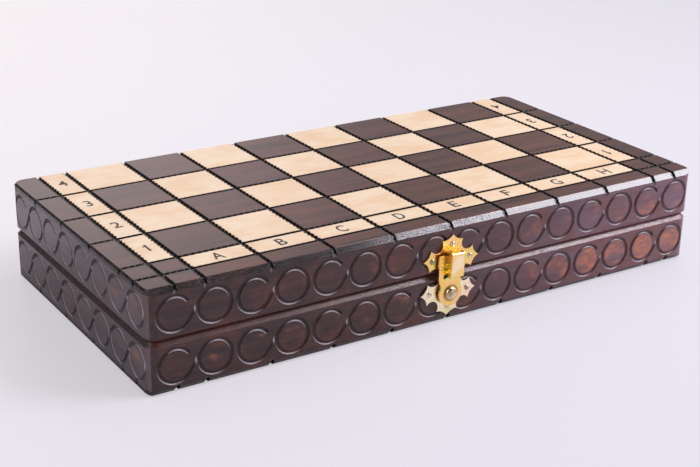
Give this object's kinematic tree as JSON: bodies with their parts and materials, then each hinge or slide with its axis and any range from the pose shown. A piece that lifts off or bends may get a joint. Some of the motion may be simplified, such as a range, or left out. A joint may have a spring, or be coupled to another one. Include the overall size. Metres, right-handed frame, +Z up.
{
  "type": "folding chess box",
  "caption": "Folding wooden chess box: two hinged half boxes with the board on their outer faces, carved sides and a swinging hook latch at the front.",
  "frame": {"origin": "bottom centre of the closed box, latch and hinges included", "axes": "+X along the box to the right as seen from the latch side, +Y from the latch side to the hinge side, +Z up from the base to the lid"},
  "size_m": [0.34, 0.179, 0.054],
  "materials": {
    "stained_wood": "dark stained and lacquered, satin",
    "pale_wood": "natural pale wood, clear satin lacquer",
    "yellow_plated_steel": "yellow zinc plated sheet steel, polished",
    "brass": "brass plated, satin",
    "steel": "bright nickel plated"
  },
  "bodies": {
    "base": {"base_back_wall": "stained_wood", "base_board": "stained_wood", "base_front_wall": "stained_wood", "base_hinge_nails": "brass", "base_label_tiles": "pale_wood", "base_left_wall": "stained_wood", "base_light_squares": "pale_wood", "base_right_wall": "stained_wood", "hook_plate_pins": "steel", "latch_hook_plate": "yellow_plated_steel", "latch_rivet": "steel", "latch_washer": "yellow_plated_steel", "left_hinge_base_leaf": "brass", "left_hinge_pin": "steel", "right_hinge_base_leaf": "brass", "right_hinge_pin": "steel"},
    "lid": {"keeper_plate_pins": "steel", "latch_keeper_plate": "yellow_plated_steel", "left_hinge_lid_leaf": "brass", "lid_back_wall": "stained_wood", "lid_board": "stained_wood", "lid_front_wall": "stained_wood", "lid_hinge_nails": "brass", "lid_label_tiles": "pale_wood", "lid_left_wall": "stained_wood", "lid_light_squares": "pale_wood", "lid_right_wall": "stained_wood", "right_hinge_lid_leaf": "brass"},
    "hook": {"latch_hook": "yellow_plated_steel"}
  },
  "joints": [
    {"name": "lid_hinge", "type": "hinge", "parent": "base", "child": "lid", "pos_m": [0, 0.08787, 0.027], "axis": [-1, 0, 0], "range_deg": [0, 180]},
    {"name": "hook_swing", "type": "hinge", "parent": "base", "child": "hook", "pos_m": [-0.0015, -0.08228, 0.017], "axis": [0, -1, 0], "range_deg": [0, 95]}
  ]
}
